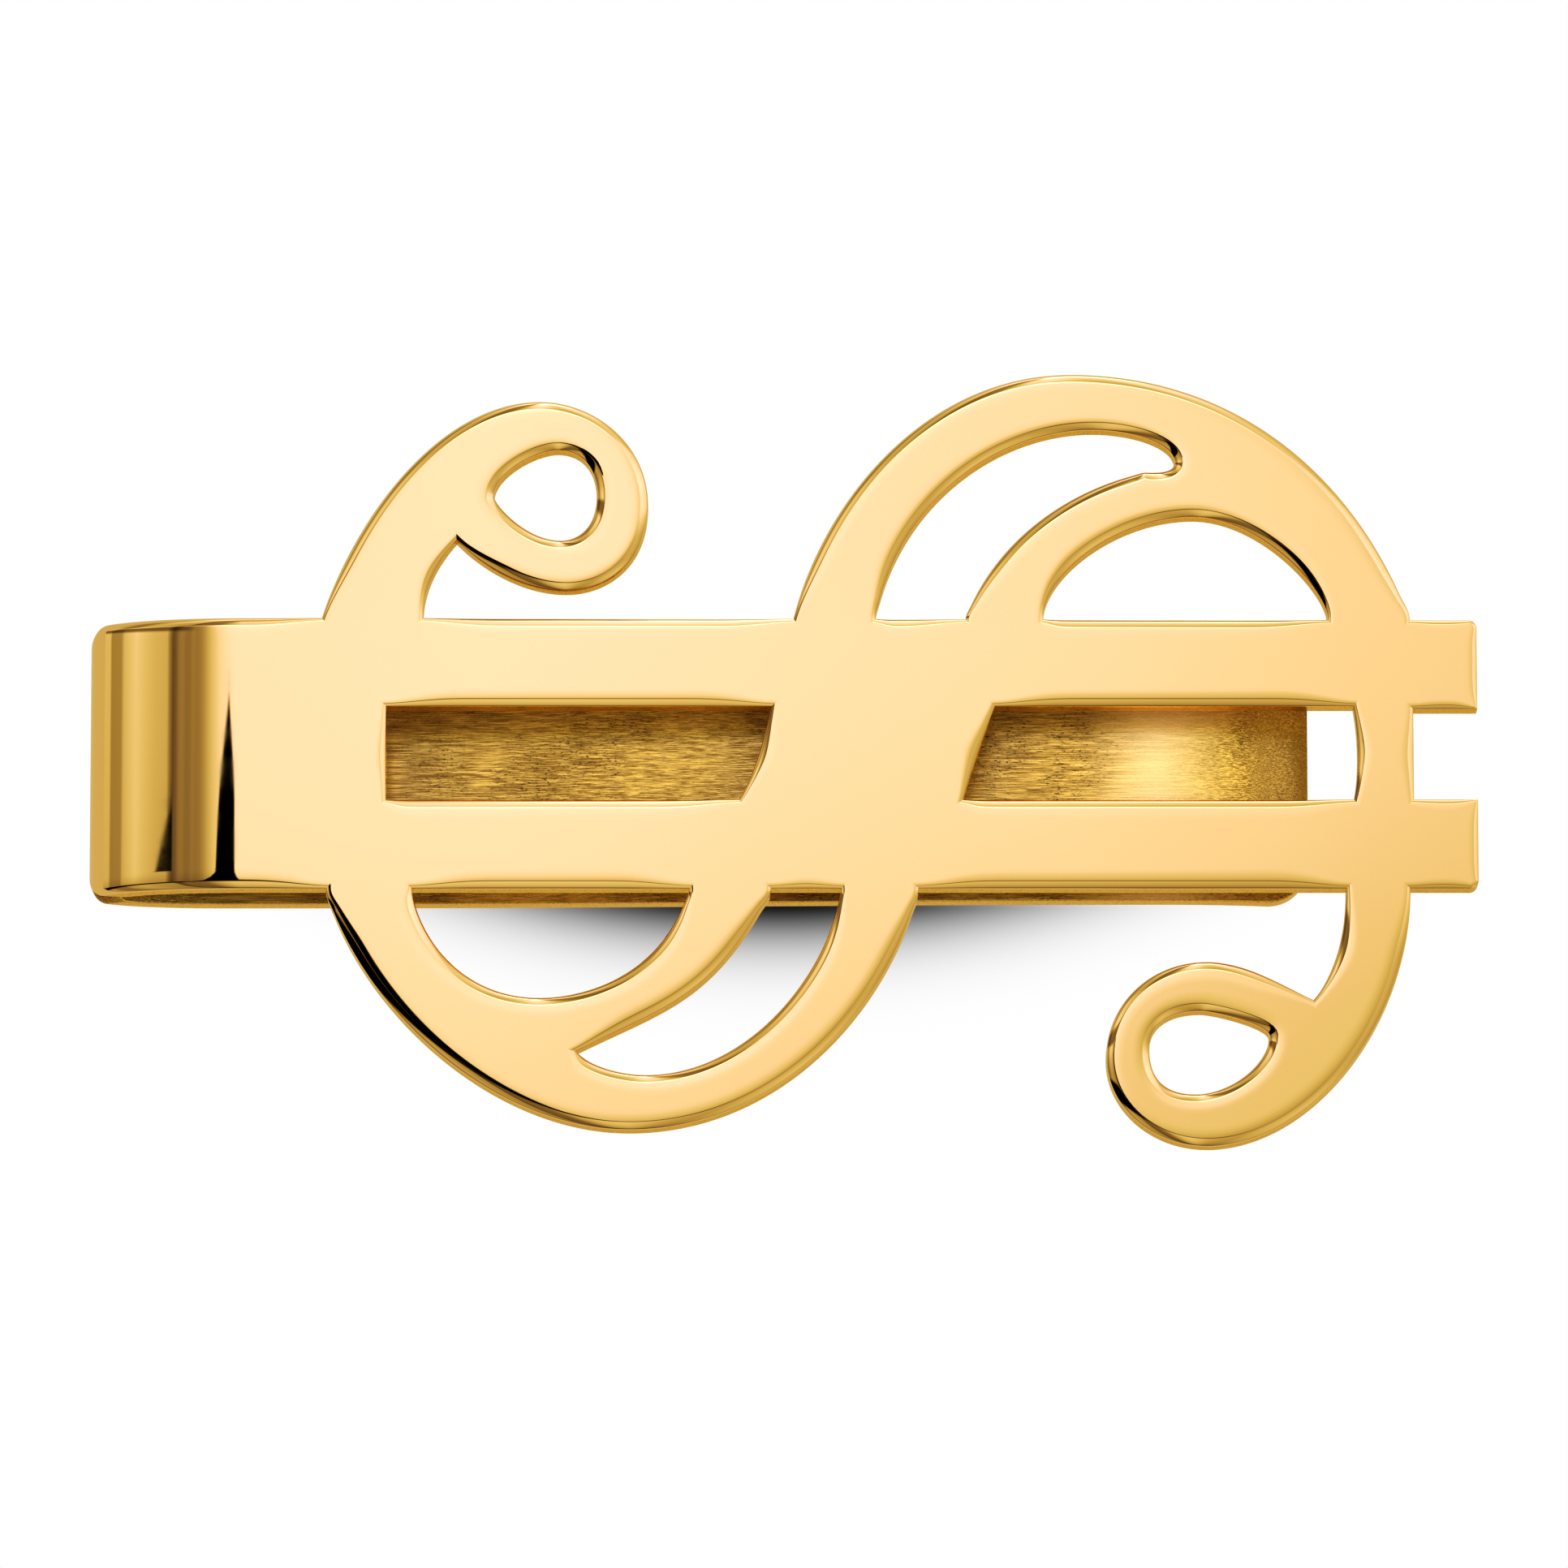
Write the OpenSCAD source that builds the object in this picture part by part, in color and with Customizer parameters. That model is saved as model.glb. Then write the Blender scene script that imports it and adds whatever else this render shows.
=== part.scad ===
// Money clip pierced and folded from one strip of gold sheet: a dollar-sign front plate,
// a U-shaped spring bend and a bowed back arm that holds the folded notes.
// +X runs from the bend to the free ends, +Y up the dollar sign, +Z out of the front face.
// The origin is under the middle of the clip, on the surface that it lies on.

/* [Sheet] */
// Length from the outside of the bend to the free ends of the bars
clip_len = 50; // [48:0.5:54]
// Thickness of the sheet
sheet_t = 1; // [0.8:0.1:1.2]
// Height of the front face above the surface that the clip lies on
stack_h = 4.4; // [4.2:0.1:5]

/* [Strip] */
// Width of the strip at the bend
strip_w = 9.9; // [9.6:0.1:10.4]
// How far the middle of the strip lies above the middle of the dollar sign
strip_shift = 0.2; // [0:0.1:0.4]
// How much narrower the upper edge has become at the free ends of the bars
bar_taper = 0.1; // [0:0.05:0.3]
// Radius of the outer corners at the free ends of the bars
bar_corner_r = 0.3; // [0.1:0.1:0.6]

/* [Slots] */
// Width of the slots that part the upper bar from the lower bar
slot_w = 3.4; // [3:0.1:3.6]
// Width of the open notch between the ends of the two bars
notch_w = 3.3; // [3:0.1:3.6]
// Distance from the middle of the clip to the bottom of the notch
notch_x = 22.7; // [22.5:0.1:23.2]

/* [Bend] */
// Height of the outermost line of the bend
nose_z = 1.85; // [1.6:0.05:2.1]
// Length over which the bend rounds into the front plate
bend_front_len = 5.5; // [4.5:0.1:6]
// Length over which the bend rounds into the back arm
bend_back_len = 4.5; // [3.5:0.1:5]
// Radius of the corners of the bend, seen from the front
bend_corner_r = 0.5; // [0.2:0.1:1]

/* [Back arm] */
// Distance from the middle of the clip to the tip of the arm
arm_tip_x = 19; // [17:0.5:20]
// Distance from the middle of the clip to the crest of the arm's bow
crest_x = 13.6; // [12:0.2:14]
// How far the crest rises towards the front plate
crest_rise = 0.8; // [0.4:0.1:1.1]
// Radius of the corners at the tip of the arm
arm_corner_r = 1.5; // [0.5:0.1:2.5]

/* [Hidden] */

// Straight steps in each curve
curve_steps = 16;
// Facets of the round corners
$fn = 48;
// How far a cutter runs past the faces that it cuts
over = 1;

nose_x = -clip_len / 2;
bar_end_x = clip_len / 2;
strip_low = strip_shift - strip_w / 2;
strip_high = strip_shift + strip_w / 2;
slot_low = strip_shift - slot_w / 2;
slot_high = strip_shift + slot_w / 2;
// The front plate and the arm meet the bend where it has become straight
front_seam_x = nose_x + bend_front_len;
arm_seam_x = nose_x + bend_back_len;
// The arm stays flat on the surface for this far past the bend
arm_flat_len = 4;
arm_flat_x = arm_seam_x + arm_flat_len;
// How far the arm's curves pull towards their crest
bow_pull = (crest_x - arm_flat_x) / 3;
lip_pull = (arm_tip_x - crest_x) / 2;

front_gold = [0.98, 0.86, 0.58];
bend_gold = [0.88, 0.70, 0.36];
arm_gold = [0.66, 0.46, 0.18];

// Outlines are runs of cubic curves: a corner or turning point, two handles, the next
// turning point, and so on. Each lobe and curl runs on behind the edge of the strip.
// The lobes and curls run anticlockwise, as the strip does.

// Upper curl of the S, from the strip by the tip of its notch and round to the strip again
upper_curl = [
    [-12.95, 5.1], [-12.95, 6.3], [-12.4, 7.25], [-11.75, 8],
    [-11.1, 7.3], [-9.55, 6.15], [-7.8, 6.15],
    [-6.35, 6.15], [-4.85, 7.15], [-4.85, 9.3],
    [-4.85, 11.6], [-6.85, 13.1], [-8.75, 13.1],
    [-12.4, 13.1], [-15.45, 8.8], [-16.6, 5.1]
];
upper_eye = [
    [-10.4, 9.6], [-10.4, 10.45], [-8.9, 11.3], [-8.1, 11.3],
    [-7.35, 11.3], [-6.7, 10.8], [-6.7, 9.6],
    [-6.7, 8.55], [-7.3, 8], [-8, 8],
    [-9.25, 8], [-10.4, 9.35], [-10.4, 9.6]
];
upper_lobe = [
    [22.6, 5.1], [20.8, 10.1], [16.65, 14.1], [10.4, 14.1],
    [5.1, 14.1], [1.4, 9.3], [0.4, 5.1]
];
upper_crescent = [
    [3.35, 5.1], [4.2, 9.45], [7.8, 12.05], [11.2, 12.05],
    [12.65, 12.05], [14.15, 11.55], [14.15, 10.85],
    [14.15, 10.45], [13.4, 10.5], [13.1, 10.5],
    [10.35, 9.9], [7.65, 8], [6.6, 5.1]
];
upper_window = [
    [9.4, 5.1], [9.4, 6.75], [12.1, 8.85], [14.8, 8.85],
    [17.25, 8.85], [19.65, 6.15], [19.65, 5.1]
];
lower_lobe = [
    [-16.4, -4.8], [-15.1, -9.1], [-10.4, -13.5], [-5.5, -13.5],
    [-0.05, -13.5], [3.75, -9.1], [4.9, -4.8]
];
lower_window = [
    [-13.3, -4.8], [-13.1, -6.3], [-11.65, -8.7], [-8.7, -8.7],
    [-7.35, -8.7], [-4.4, -8.1], [-3.35, -4.8]
];
lower_crescent = [
    [-0.4, -4.8], [-2.5, -8.8], [-4.2, -9.05], [-7.4, -10.65],
    [-6.9, -11.2], [-5.75, -11.5], [-4.9, -11.5],
    [-1.3, -11.5], [1.6, -7.95], [2.1, -4.8]
];
lower_curl = [
    [20.25, -4.8], [20.25, -6.5], [19.7, -8.05], [19.05, -8.8],
    [18.05, -8.35], [16.75, -7.4], [15.2, -7.4],
    [13.15, -7.4], [11.6, -9], [11.6, -10.9],
    [11.6, -12.65], [13.2, -14.1], [15.2, -14.1],
    [19, -14.1], [22.55, -9.55], [22.55, -4.8]
];
lower_eye = [
    [17.45, -10.1], [17.45, -11.1], [16.05, -12.2], [14.8, -12.2],
    [13.7, -12.2], [13.15, -11.65], [13.15, -10.6],
    [13.15, -9.65], [13.9, -9.2], [15, -9.2],
    [15.5, -9.2], [17.45, -9.7], [17.45, -10.1]
];
// The long slots stop at the S: these are the edges of its spine and of its right side
left_slot_x = -14.25;
spine_left_edge = [[-0.4, slot_high], [-0.6, 0.9], [-1, -0.6], [-1.55, slot_low]];
spine_right_edge = [[6.5, slot_low], [6.8, -0.4], [7.3, 1], [7.65, slot_high]];
right_side_edge = [[20.55, slot_high], [20.75, 0.8], [20.75, -0.6], [20.55, slot_low]];

// Points along a cubic curve from a to d with handles b and c, without its last point
function curve(a, b, c, d) = [
    for (i = [0 : curve_steps - 1])
        let (t = i / curve_steps, s = 1 - t)
        s * s * s * a + 3 * s * s * t * b + 3 * s * t * t * c + t * t * t * d
];

// Points along a run of curves, with its last point
function run(p) = [
    for (k = [0 : 3 : len(p) - 4]) each curve(p[k], p[k + 1], p[k + 2], p[k + 3]),
    p[len(p) - 1]
];

// A run of curves that stands on the edge of the strip, taken on behind that edge
function rooted(p) =
    let (last = len(p) - 1, back = p[0].y > 0 ? -over : over)
    concat([[p[0].x, p[0].y + back]], run(p), [[p[last].x, p[last].y + back]]);

// A quarter of an ellipse about c, from angle a0 to angle a1
function elbow(c, rx, ry, a0, a1) = [
    for (i = [0 : curve_steps])
        let (a = a0 + (a1 - a0) * i / curve_steps)
        [c.x + rx * cos(a), c.y + ry * sin(a)]
];

// The points p moved up by h
function raised(p, h) = [for (q = p) [q.x, q.y + h]];

// The points p in the opposite order
function reversed(p) = [for (i = [len(p) - 1 : -1 : 0]) p[i]];

// The strip between the bend and the ends of the bars, with its corners rounded there
module strip_plan() {
    polygon([
        [front_seam_x, strip_low],
        [bar_end_x - bar_corner_r, strip_low],
        [bar_end_x, strip_low + bar_corner_r],
        [bar_end_x, strip_high - bar_taper - bar_corner_r],
        [bar_end_x - bar_corner_r, strip_high - bar_taper],
        [front_seam_x, strip_high]
    ]);
    for (y = [strip_low + bar_corner_r, strip_high - bar_taper - bar_corner_r])
        translate([bar_end_x - bar_corner_r, y]) circle(r = bar_corner_r);
}

// The S: two lobes and two curls with their windows, behind and beyond the strip
module scroll_plan() {
    difference() {
        polygon(rooted(upper_lobe));
        polygon(rooted(upper_crescent));
        polygon(rooted(upper_window));
    }
    difference() {
        polygon(rooted(lower_lobe));
        polygon(rooted(lower_window));
        polygon(rooted(lower_crescent));
    }
    difference() {
        polygon(rooted(upper_curl));
        polygon(run(upper_eye));
    }
    difference() {
        polygon(rooted(lower_curl));
        polygon(run(lower_eye));
    }
}

// The two long slots and the open notch that part the strip into two bars
module slot_plan() {
    polygon(concat([[left_slot_x, slot_low], [left_slot_x, slot_high]], run(spine_left_edge)));
    polygon(concat(run(spine_right_edge), run(right_side_edge)));
    translate([notch_x, slot_low]) square([bar_end_x - notch_x + over, notch_w]);
}

// A bar across the clip whose side view is the outline p
module side_extrusion(p) {
    translate([0, strip_high, 0]) rotate([90, 0, 0])
        linear_extrude(strip_w) polygon(p);
}

// Pierced front plate: the strip's two bars and the S of the dollar sign
module dollar_front() {
    color(front_gold)
        translate([0, 0, stack_h - sheet_t]) linear_extrude(sheet_t) difference() {
            union() {
                strip_plan();
                scroll_plan();
            }
            slot_plan();
        }
}

// U-shaped fold that is the clip's spring
module spring_bend() {
    outside = concat(
        elbow([front_seam_x, nose_z], bend_front_len, stack_h - nose_z, 90, 180),
        elbow([arm_seam_x, nose_z], bend_back_len, nose_z, 180, 270)
    );
    inside = concat(
        elbow([front_seam_x, nose_z], bend_front_len - sheet_t,
            stack_h - sheet_t - nose_z, 90, 180),
        elbow([arm_seam_x, nose_z], bend_back_len - sheet_t, nose_z - sheet_t, 180, 270)
    );
    color(bend_gold) intersection() {
        side_extrusion(concat(outside, reversed(inside)));
        translate([0, 0, -over]) linear_extrude(stack_h + 2 * over) union() {
            translate([nose_x + bend_corner_r, strip_low])
                square([bend_front_len, strip_w]);
            translate([nose_x, strip_low + bend_corner_r])
                square([bend_front_len, strip_w - 2 * bend_corner_r]);
            for (y = [strip_low + bend_corner_r, strip_high - bend_corner_r])
                translate([nose_x + bend_corner_r, y]) circle(r = bend_corner_r);
        }
    }
}

// Back arm: flat behind the bend, bowed towards the front plate, flared out at its tip
module back_arm() {
    under = concat(
        [[arm_seam_x, 0]],
        run([
            [arm_flat_x, 0], [arm_flat_x + bow_pull, 0],
            [crest_x - bow_pull, crest_rise], [crest_x, crest_rise],
            [crest_x + lip_pull, crest_rise], [arm_tip_x - lip_pull / 2, crest_rise / 2],
            [arm_tip_x, 0]
        ])
    );
    color(arm_gold) intersection() {
        side_extrusion(concat(under, reversed(raised(under, sheet_t))));
        translate([0, 0, -over]) linear_extrude(stack_h + over) union() {
            translate([arm_seam_x - over, strip_low])
                square([arm_tip_x - arm_corner_r - arm_seam_x + over, strip_w]);
            translate([arm_seam_x - over, strip_low + arm_corner_r])
                square([arm_tip_x - arm_seam_x + over, strip_w - 2 * arm_corner_r]);
            for (y = [strip_low + arm_corner_r, strip_high - arm_corner_r])
                translate([arm_tip_x - arm_corner_r, y]) circle(r = arm_corner_r);
        }
    }
}

dollar_front();
spring_bend();
back_arm();
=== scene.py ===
"""Looks of the money clip: a strip of polished gold, pierced with a dollar sign and folded once.

Every length is in metres in the frame of the CAD model. The three CAD nodes are replaced by meshes
with the same outlines and the buffed edges, side walls and broken inner edges of the real sheet.
"""
import math

import bpy
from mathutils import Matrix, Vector
from mathutils.geometry import tessellate_polygon
from mathutils.kdtree import KDTree


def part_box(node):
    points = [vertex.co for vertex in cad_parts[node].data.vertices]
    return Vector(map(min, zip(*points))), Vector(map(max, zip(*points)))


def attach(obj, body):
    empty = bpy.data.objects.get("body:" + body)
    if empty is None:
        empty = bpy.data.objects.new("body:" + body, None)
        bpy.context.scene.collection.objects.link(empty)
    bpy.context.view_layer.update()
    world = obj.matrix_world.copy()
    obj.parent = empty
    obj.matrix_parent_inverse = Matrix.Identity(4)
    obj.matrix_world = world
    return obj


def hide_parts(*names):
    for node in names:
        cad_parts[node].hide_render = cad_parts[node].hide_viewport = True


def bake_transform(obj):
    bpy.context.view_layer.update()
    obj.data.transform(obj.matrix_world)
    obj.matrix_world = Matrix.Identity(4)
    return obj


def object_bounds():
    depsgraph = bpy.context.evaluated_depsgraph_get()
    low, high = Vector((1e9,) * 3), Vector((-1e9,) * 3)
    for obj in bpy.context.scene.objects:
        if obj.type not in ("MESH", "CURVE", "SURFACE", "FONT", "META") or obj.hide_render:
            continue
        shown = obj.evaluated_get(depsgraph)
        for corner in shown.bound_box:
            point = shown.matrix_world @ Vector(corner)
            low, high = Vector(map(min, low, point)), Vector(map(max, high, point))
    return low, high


MM = 0.001

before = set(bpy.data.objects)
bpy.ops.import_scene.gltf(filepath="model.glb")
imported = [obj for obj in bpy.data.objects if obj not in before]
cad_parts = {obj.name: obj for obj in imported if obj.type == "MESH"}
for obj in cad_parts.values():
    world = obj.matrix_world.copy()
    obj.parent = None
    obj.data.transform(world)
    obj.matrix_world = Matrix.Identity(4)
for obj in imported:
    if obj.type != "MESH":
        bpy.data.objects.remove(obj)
cad_box = [list(corner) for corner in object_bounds()]

# ---- sizes taken from the frame ----
front_lo, front_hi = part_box("dollar_front")
bend_lo, bend_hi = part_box("spring_bend")
arm_lo, arm_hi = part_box("back_arm")
face_z = front_hi.z
sheet_t = front_hi.z - front_lo.z
strip_low, strip_high = bend_lo.y, bend_hi.y
front_seam_x, arm_seam_x = front_lo.x, arm_lo.x
nose_x, arm_tip_x = bend_lo.x, arm_hi.x
crest_rise = arm_hi.z - sheet_t

# ---- sizes that the frame doesn't give, as in the CAD model ----
nose_z = 1.85 * MM
bend_corner_r = 0.5 * MM
arm_flat_len = 4.0 * MM
crest_x = 13.6 * MM
arm_corner_r = 1.5 * MM

# ---- how the edges are finished ----
ROLL_W = 0.74 * MM  # how far the buffed edge of the front reaches in from the wall
ROLL_MIN_W = 0.26 * MM  # the same in an inner corner, which the buffing wheel can't reach
ROLL_CLEAR = 2.8 * MM  # length along which the buffed edge widens beside an inner corner
ROLL_START = 0.1  # share of that length which the corner itself takes up
ROLL_SHARE = 0.85  # widest buffed edge, over the radius of the metal beside it
ROLL_DROP = 0.23  # depth of the buffed edge over its width
ROLL_PASSES = 6  # how many times jumps in its width are smoothed
BAR_END_W = 0.4 * MM  # width of the buffed edge at the ends of the bars
BAR_END_LEN = 2.5 * MM  # how far from the ends of the bars it starts to narrow
BAR_END_EASE = 1.5 * MM  # length along which it narrows
SEAM_CLEAR = 2.0 * MM  # how far from the seam the radius of the metal doesn't limit it
BACK_W = 0.3 * MM  # width of the buffed edge on the outside of the back arm
BREAK_W = 0.05 * MM  # broken edge on the inside of the sheet

# ---- how fine the meshes are ----
FINE_STEP = 0.22 * MM  # longest step along a curved outline
LONG_STEP = 1.2 * MM  # a CAD edge longer than this is a straight one
CORNER_TURN = math.radians(32)  # a CAD outline that turns more than this at a point has a corner
MITRE_LIMIT = 0.35  # keeps the inset of a sharp corner short
METAL_REACH = 2.4 * ROLL_W  # how far to look for the other side of a narrow piece of metal
LEAST_RISE = 0.08  # a neighbour that rises less than this from an outline isn't its other side
BEND_STEPS = 40  # stations in each quarter of the bend
FLAT_STEPS = 6  # stations along the flat of the arm
CURVE_STEPS = 60  # stations along each curve of the arm
LEAN_LIMIT = 50.0  # keeps the slope of the arm's rounded corners finite at the tip
TOUCHING = 1e-6  # two places closer than this are the same
SAME_WAY = 0.9999  # two normals whose dot product is above this are the same
FAR = 1.0  # a length that stands for none found

POLISHED, WALL, SATIN = 0, 1, 2
UP, DOWN = (0.0, 0.0, 1.0), (0.0, 0.0, -1.0)
LEFT, RIGHT = (-1.0, 0.0, 0.0), (1.0, 0.0, 0.0)


# ---------------------------------------------------------------- edge profile
# Way across the buffed edge, from the face to the wall, and the tilt of the surface there in
# degrees: a long, faint fall, a crease, a buffed facet, and a second crease into the wall.
PROFILE_KEYS = [
    (0.0, 0.0), (0.2, 0.5), (0.4, 2.0), (0.56, 4.5), (0.59, 7.0), (0.645, 22.0), (0.7, 25.0),
    (0.8, 30.0), (0.9, 37.0), (0.945, 44.0), (0.975, 70.0), (1.0, 88.0),
]
STEEPEST = 60.0  # tilt in degrees that a step of the profile falls with at most
WALL_ROW = len(PROFILE_KEYS) - 1  # row of the cross-section where the wall starts
# The broken edge, from the wall to the inner face: its inset and its height over its width, and
# the normal's angle in degrees.
BREAK = [(0.0, 1.0, 90.0), (0.3, 0.3, 135.0), (1.0, 0.0, 180.0)]


def edge_profile():
    """(inset, drop, normal angle) from the face to the wall: inset runs 1 to 0, drop 0 to 1."""
    drop = [0.0]
    for (way, tilt), (next_way, next_tilt) in zip(PROFILE_KEYS, PROFILE_KEYS[1:]):
        fall = math.tan(math.radians(min(STEEPEST, (tilt + next_tilt) / 2)))
        drop.append(drop[-1] + (next_way - way) * fall)
    return [(1 - way, d / drop[-1], math.radians(tilt)) for (way, tilt), d in zip(PROFILE_KEYS, drop)]


def cross_section():
    """Rows from the face to the inner face: (inset over width, drop or height over depth, side,
    normal angle)."""
    rows = [(inset, drop, "top", angle) for inset, drop, angle in edge_profile()]
    rows += [(inset, height, "bottom", math.radians(angle)) for inset, height, angle in BREAK]
    return rows


ROWS = cross_section()
SECTION = [(row, 1) for row in ROWS] + [(row, -1) for row in reversed(ROWS)]


# ---------------------------------------------------------------- outlines
def face_loops(obj, z):
    """Loops of 2-D points round the CAD node's flat face at height z, with the metal on their left."""
    mesh = obj.data
    mesh.calc_loop_triangles()
    edges = {}
    for triangle in mesh.loop_triangles:
        corners = [mesh.vertices[i].co for i in triangle.vertices]
        faces_up = triangle.normal.z > 0.9
        if faces_up and all(abs(corner.z - z) < TOUCHING for corner in corners):
            ring = [(round(corner.x, 7), round(corner.y, 7)) for corner in corners]
            for a, b in zip(ring, ring[1:] + ring[:1]):
                if (b, a) in edges:
                    del edges[(b, a)]
                else:
                    edges[(a, b)] = True
    after = {a: b for a, b in edges}
    loops = []
    while after:
        start = min(after)
        loop = [start]
        here = after.pop(start)
        while here != start:
            loop.append(here)
            here = after.pop(here)
        loops.append([Vector(p) for p in loop])
    return loops


def turn(a, b):
    """Signed angle from direction a to direction b."""
    return math.atan2(a.x * b.y - a.y * b.x, a.dot(b))


def reflected(tangent, chord):
    """The tangent at the other end of a round step whose chord and one tangent are known."""
    return 2 * tangent.dot(chord) * chord - tangent


def along_step(p, q, start, stop, length, s):
    """Place and direction at share s of the cubic from p to q, whose end tangents are given."""
    weights = [2 * s**3 - 3 * s**2 + 1, s**3 - 2 * s**2 + s, 3 * s**2 - 2 * s**3, s**3 - s**2]
    place = weights[0] * p + weights[1] * length * start + weights[2] * q + weights[3] * length * stop
    rates = [6 * s**2 - 6 * s, 3 * s**2 - 4 * s + 1, 6 * s - 6 * s**2, 3 * s**2 - 2 * s]
    slope = rates[0] * p + rates[1] * length * start + rates[2] * q + rates[3] * length * stop
    if s == 0 or slope.length <= 1e-12:
        return place, start
    return place, slope.normalized()


class Outline:
    """A fine, smooth version of a run of CAD points: place, tangents and inner corners."""

    def __init__(self, points, closed):
        self.closed = closed
        self.at, self.before, self.after, self.inner = [], [], [], []
        n = len(points)
        chords = [points[(i + 1) % n] - points[i] for i in range(n if closed else n - 1)]
        self.length = [chord.length for chord in chords]
        self.unit = [chord.normalized() for chord in chords]
        turns = [self._turn(i, n) for i in range(n)]
        self.corner = [t is None or abs(t) > CORNER_TURN for t in turns]
        arriving = []
        for i in range(len(chords)):
            j = (i + 1) % n
            start, stop = self._tangents(i, j)
            steps = max(1, math.ceil(self.length[i] / FINE_STEP))
            for k in range(steps):
                place, direction = along_step(
                    points[i], points[j], start, stop, self.length[i], k / steps)
                at_corner = self.corner[i] and k == 0
                self.at.append(place)
                self.before.append(None if at_corner else direction)
                self.after.append(direction)
                self.inner.append(at_corner and turns[i] is not None and turns[i] < 0)
                arriving.append(stop)
        if not closed:
            self.at.append(points[-1])
            self.before.append(stop)
            self.after.append(stop)
            self.inner.append(False)
        for i, tangent in enumerate(self.before):
            if tangent is None:
                self.before[i] = arriving[i - 1] if closed or i else self.after[i]

    def _turn(self, i, count):
        """How far the run turns at CAD point i, or None at an open end."""
        if not self.closed and i in (0, count - 1):
            return None
        return turn(self.unit[i - 1], self.unit[i % len(self.unit)])

    def _tangent(self, i):
        """Tangent at CAD point i, or None at a corner, where each side has its own."""
        if self.corner[i]:
            return None
        a, b = (i - 1) % len(self.unit), i % len(self.unit)
        if self.length[a] > LONG_STEP:
            return self.unit[a]
        if self.length[b] > LONG_STEP:
            return self.unit[b]
        return (self.unit[a] * (1 / self.length[a]) + self.unit[b] * (1 / self.length[b])).normalized()

    def _tangents(self, i, j):
        """Tangents at the two ends of the step from CAD point i to CAD point j."""
        chord = self.unit[i]
        start, stop = self._tangent(i), self._tangent(j)
        if self.length[i] > LONG_STEP or (start is None and stop is None):
            return chord, chord
        if start is None:
            return reflected(stop, chord), stop
        if stop is None:
            return start, reflected(start, chord)
        return start, stop

    def distances(self):
        """For each fine point, the way along the outline to the nearest inner corner."""
        n = len(self.at)
        out = [0.0 if inner else FAR for inner in self.inner]
        for _ in range(2):
            for i in range(n) if self.closed else range(1, n):
                step = (self.at[i] - self.at[i - 1]).length
                out[i] = min(out[i], out[i - 1] + step)
            for i in reversed(range(n - 1)):
                step = (self.at[i + 1] - self.at[i]).length
                out[i] = min(out[i], out[i + 1] + step)
        return out


def inward(tangent):
    """The direction into the metal beside an outline that keeps the metal on its left."""
    return Vector((-tangent.y, tangent.x))


def mitre(a, b):
    """The inward step per unit of inset where an outline turns from tangent a to tangent b."""
    both = inward(a) + inward(b)
    return both / max(MITRE_LIMIT, both.dot(inward(a)))


def smooth(x):
    """0 below 0, 1 above 1, and a soft rise between them."""
    x = min(1.0, max(0.0, x))
    return x * x * (3 - 2 * x)


# ---------------------------------------------------------------- mesh building
class Builder:
    """Collects vertices, faces with a normal at each corner, and a material for each face."""

    def __init__(self):
        self.co, self.faces, self.normals, self.mats = [], [], [], []

    def vert(self, x, y, z):
        """Adds a vertex, kept inside the CAD model's box, and gives its number."""
        place = (x, y, z)
        self.co.append(tuple(min(hi, max(lo, c)) for c, lo, hi in zip(place, *cad_box)))
        return len(self.co) - 1

    def face(self, verts, normals, mat):
        """Adds a face, without the vertices that it names twice."""
        seen, keep_v, keep_n = set(), [], []
        for v, normal in zip(verts, normals):
            if v not in seen:
                seen.add(v)
                keep_v.append(v)
                keep_n.append(normal)
        if len(keep_v) > 2:
            self.faces.append(keep_v)
            self.normals.append(keep_n)
            self.mats.append(mat)

    def creases(self):
        """Edges whose two faces have different normals at an end."""
        seen, creases = {}, set()
        for verts, normals in zip(self.faces, self.normals):
            for i, v in enumerate(verts):
                j = (i + 1) % len(verts)
                w = verts[j]
                pair = (normals[i], normals[j]) if v < w else (normals[j], normals[i])
                edge = (min(v, w), max(v, w))
                other = seen.setdefault(edge, pair)
                if any(Vector(a).dot(Vector(b)) < SAME_WAY for a, b in zip(pair, other)):
                    creases.add(edge)
        return creases

    def make(self, name, materials):
        """The object, with its own normals and a sharp edge at each crease."""
        mesh = bpy.data.meshes.new(name)
        mesh.from_pydata(self.co, [], self.faces)
        for material in materials:
            mesh.materials.append(material)
        mesh.polygons.foreach_set("material_index", self.mats)
        mesh.polygons.foreach_set("use_smooth", [True] * len(self.faces))
        creases = self.creases()
        sharp = [tuple(sorted(edge.vertices)) in creases for edge in mesh.edges]
        mesh.edges.foreach_set("use_edge_sharp", sharp)
        mesh.update()
        mesh.normals_split_custom_set([normal for face in self.normals for normal in face])
        obj = bpy.data.objects.new(name, mesh)
        bpy.context.scene.collection.objects.link(obj)
        return obj


def tilted(out, angle):
    """Unit normal that leans from straight up towards the flat direction out by an angle."""
    return (out.x * math.sin(angle), out.y * math.sin(angle), math.cos(angle))


# ---------------------------------------------------------------- front plate
def metal_radii(lines):
    """For each fine point of each outline, the radius of the largest disc of metal that touches it."""
    places = [(p, k, i) for k, line in enumerate(lines) for i, p in enumerate(line.at)]
    tree = KDTree(len(places))
    for n, (p, _, _) in enumerate(places):
        tree.insert((p.x, p.y, 0.0), n)
    tree.balance()
    radii = [[FAR] * len(line.at) for line in lines]
    for p, k, i in places:
        line = lines[k]
        step = inward(line.before[i]) + inward(line.after[i])
        step.normalize()
        for place, _, away in tree.find_range((p.x, p.y, 0.0), METAL_REACH):
            rise = (Vector(place[:2]) - p).dot(step)
            if away > TOUCHING and rise > LEAST_RISE * away:
                radii[k][i] = min(radii[k][i], away * away / (2 * rise))
    return radii


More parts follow.
